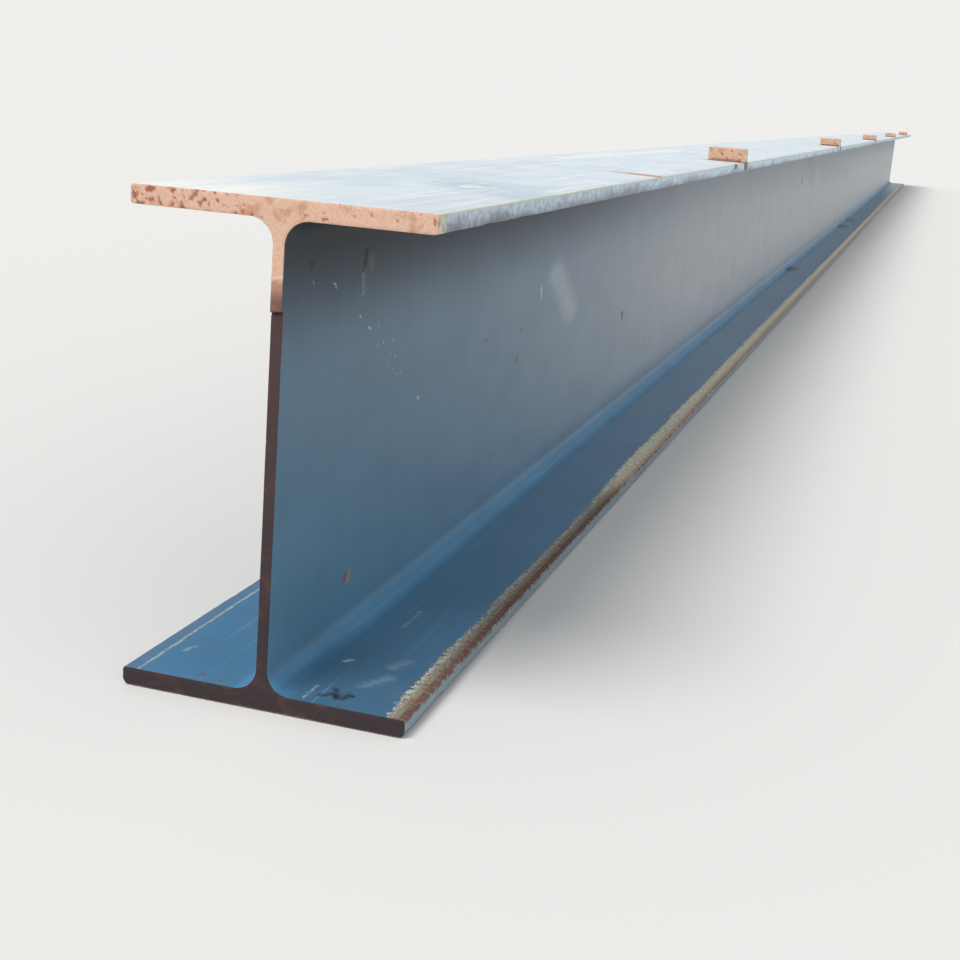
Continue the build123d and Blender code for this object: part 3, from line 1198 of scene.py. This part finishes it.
def weld_bead(length, leg, seed, blob):
    """A rippled fillet bead along +X from its root at the origin, out towards -Y and up."""
    steps = round(length / BEAD_STEP)
    points, faces = [], []
    for i in range(steps + 1):
        t = i / steps
        taper = min(1.0, math.sqrt(max(0.0, 1 - (2 * t - 1) ** 12)))
        swell = 1.0 if not blob else 1.0 + 0.5 * smooth(t, 0.88, 0.95) * (1 - smooth(t, 0.97, 1.0))
        x = length * t
        for j in range(BEAD_SIDES + 1):
            angle = math.pi / 2 * j / BEAD_SIDES
            lag = 1.6 * math.sin(2 * angle)
            ripple = 0.5 + 0.5 * math.sin(2 * math.pi * (x + lag) / RIPPLE_PITCH)
            wander = noise.noise(Vector((x / 9, angle, seed)))
            radius = BEAD_BODY + RIPPLE_DEPTH * ripple + BEAD_WANDER * wander
            radius = leg * min(radius * taper * swell, BEAD_LIMIT)
            points.append((x, -radius * math.cos(angle), radius * math.sin(angle)))
        points.append((x, 0.0, 0.0))
    ring = BEAD_SIDES + 2
    for i in range(steps):
        for j in range(ring):
            a, b = i * ring + j, i * ring + (j + 1) % ring
            faces.append([a, a + ring, b + ring, b])
    faces.append(list(range(ring))[::-1])
    faces.append([steps * ring + j for j in range(ring)])
    return points, faces


FLOOR_REACH, FLOOR_SIDES = 400.0, 96  # metres to the floor's rim, and points round it
FRAME_WIDTH_PX = 960


def studio_floor(settings):
    """A plain pale floor that runs to the horizon."""
    turns = np.linspace(0, 2 * math.pi, FLOOR_SIDES, False)
    rim = [(FLOOR_REACH * math.cos(a), FLOOR_REACH * math.sin(a), 0.0) for a in turns]
    mesh = bpy.data.meshes.new("studio_floor")
    mesh.from_pydata(rim, [], [list(range(FLOOR_SIDES))])
    floor = bpy.data.objects.new("studio_floor", mesh)
    bpy.context.scene.collection.objects.link(floor)
    material = bpy.data.materials.new("matt_painted_floor")
    material.use_nodes = True
    shader = material.node_tree.nodes["Principled BSDF"]
    shader.inputs["Base Color"].default_value = (*settings.floor, 1)
    shader.inputs["Roughness"].default_value = 0.9
    shader.inputs["Specular IOR Level"].default_value = 0.2
    mesh.materials.append(material)


def studio_world(settings):
    """Soft light from all round. The camera and reflections see the plain backdrop instead."""
    world = bpy.data.worlds.new("studio")
    bpy.context.scene.world = world
    world.use_nodes = True
    tree = world.node_tree
    tree.nodes.clear()
    paths = add(tree, "LightPath").node.outputs
    seen = strongest(paths["Is Camera Ray"], paths["Is Glossy Ray"], paths["Is Transmission Ray"])
    sky = add(tree, "Background", {"Color": list(settings.sky), "Strength": settings.sky_strength})
    shown = add(tree, "Background", {"Color": list(settings.backdrop), "Strength": 1.0})
    both = add(tree, "MixShader", {0: seen, 1: sky, 2: shown})
    add(tree, "OutputWorld", {"Surface": both}, output=slice(0))


def add_sun(name, strength, softness, toward):
    """A soft distant lamp that shines in the direction toward."""
    lamp = bpy.data.lights.new(name, "SUN")
    lamp.energy, lamp.angle = strength, math.radians(softness)
    made = bpy.data.objects.new(name, lamp)
    made.rotation_mode = "QUATERNION"
    made.rotation_quaternion = Vector(toward).to_track_quat("-Z", "Y")
    bpy.context.scene.collection.objects.link(made)


def photo_camera(settings):
    """The photograph's point of view, given from the near end's bottom centre."""
    camera = bpy.data.cameras.new("photo_view")
    camera.sensor_width = 36.0
    camera.lens = camera.sensor_width * settings.focal_length_px / FRAME_WIDTH_PX
    camera.clip_start, camera.clip_end = 0.01, 1000.0
    yaw, pitch, roll = settings.camera_turn
    ahead = Vector((math.sin(yaw) * math.cos(pitch), math.cos(yaw) * math.cos(pitch), -math.sin(pitch)))
    right = Vector((math.cos(yaw), -math.sin(yaw), 0))
    down = ahead.cross(right)
    right, down = (
        right * math.cos(roll) + down * math.sin(roll), down * math.cos(roll) - right * math.sin(roll)
    )
    made = bpy.data.objects.new("photo_view", camera)
    place = Vector((0, BEAM_LOW.y, 0)) + Vector(settings.camera_place)
    axes = Matrix((right, -down, -ahead)).transposed()
    made.matrix_world = Matrix.Translation(place) @ axes.to_4x4()
    bpy.context.scene.collection.objects.link(made)
    bpy.context.scene.camera = made


class BEAM_OT_rolled_section(bpy.types.Operator):
    """Build the rolled beam with its torch-cut ends, and paint it"""

    bl_idname = "beam.rolled_section"
    bl_label = "Rolled beam"

    def execute(self, context):
        section = section_in_mm(context.scene.beam_sizes)
        colours = context.scene.beam_colours
        shape = BeamMesh(section)
        shape.body(shape.cut_end(-1), shape.cut_end(1))
        makers = (web_primer, top_flange_primer, bottom_flange_primer, cut_face_material)
        materials = [make(section, colours) for make in makers]
        made = make_object("rolled_beam", shape.points, shape.faces, shape.slots, materials, shape.pits)
        bake_map = made.data.uv_layers.new(name="OFBake")
        bake_map.data.foreach_set("uv", np.array(shape.map, np.float32).ravel())
        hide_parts("beam")
        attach(made, "root")
        return {"FINISHED"}


class BEAM_OT_edge_blocks(bpy.types.Operator):
    """Build the rusty blocks with their weld beads along the flange's edge"""

    bl_idname = "beam.edge_blocks"
    bl_label = "Edge blocks"

    def execute(self, context):
        sizes, colours = context.scene.beam_sizes, context.scene.beam_colours
        leg, gap, radius = (v / MM for v in (sizes.weld_leg, sizes.weld_end_gap, sizes.block_edge_radius))
        materials = [block_material(colours), weld_material(colours)]
        for number, name in enumerate(BLOCK_NODES, 1):
            low, high = (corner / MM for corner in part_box(name))
            centre = (low + high) / 2
            half = Vector((high.x - low.x, high.y - low.y - 2 * leg, high.z - low.z)) / 2
            points, faces, pits = block_plate(half, radius, float(number))
            points = [centre + p for p in points]
            slots = [0] * len(faces)
            for side in (-1, 1):
                bead, bead_faces = weld_bead(2 * (half.x - gap), leg, 10 * number + side, side < 0)
                first = len(points)
                root = Vector((low.x + gap, centre.y + side * half.y, low.z))
                points += [root + Vector((x, -side * y, z)) for x, y, z in bead]
                turned = bead_faces if side < 0 else [f[::-1] for f in bead_faces]
                faces += [[first + i for i in f] for f in turned]
                slots += [1] * len(bead_faces)
                pits += [0.0] * len(bead)
            made = make_object(f"edge_block_{number}", points, faces, slots, materials, pits)
            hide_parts(name)
            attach(made, "root")
        return {"FINISHED"}


class BEAM_OT_studio(bpy.types.Operator):
    """Set up the floor, the light and the camera"""

    bl_idname = "beam.studio"
    bl_label = "Studio"

    def execute(self, context):
        settings = context.scene.beam_studio
        studio_floor(settings)
        studio_world(settings)
        add_sun("key_light", settings.key_strength, 30, (0.35, 0.55, -1.0))
        add_sun("side_fill", settings.side_strength, 60, (-1.0, 0.5, -0.35))
        photo_camera(settings)
        context.scene.view_settings.view_transform = "Standard"
        return {"FINISHED"}


class BEAM_PT_parts(bpy.types.Panel):
    """Lists what can be built, and the sizes and colours it is built with"""

    bl_label = "Beam"
    bl_idname = "BEAM_PT_parts"
    bl_space_type = "VIEW_3D"
    bl_region_type = "UI"
    bl_category = "Beam"

    def draw(self, context):
        for maker in OPERATORS:
            self.layout.operator(maker.bl_idname)
        for group in (context.scene.beam_sizes, context.scene.beam_colours, context.scene.beam_studio):
            column = self.layout.column(align=True)
            for name in group.__annotations__:
                column.prop(group, name)


OPERATORS = (BEAM_OT_rolled_section, BEAM_OT_edge_blocks, BEAM_OT_studio)
CLASSES = (BeamSizes, BeamColours, StudioSettings, *OPERATORS, BEAM_PT_parts)


def register():
    """Adds the classes, and the settings to every scene."""
    for cls in CLASSES:
        bpy.utils.register_class(cls)
    bpy.types.Scene.beam_sizes = PointerProperty(type=BeamSizes)
    bpy.types.Scene.beam_colours = PointerProperty(type=BeamColours)
    bpy.types.Scene.beam_studio = PointerProperty(type=StudioSettings)


def unregister():
    """Takes them away again."""
    del bpy.types.Scene.beam_studio
    del bpy.types.Scene.beam_colours
    del bpy.types.Scene.beam_sizes
    for cls in reversed(CLASSES):
        bpy.utils.unregister_class(cls)


def main():
    register()
    bpy.ops.beam.rolled_section()
    bpy.ops.beam.edge_blocks()
    bpy.ops.beam.studio()


if __name__ == "__main__":
    main()
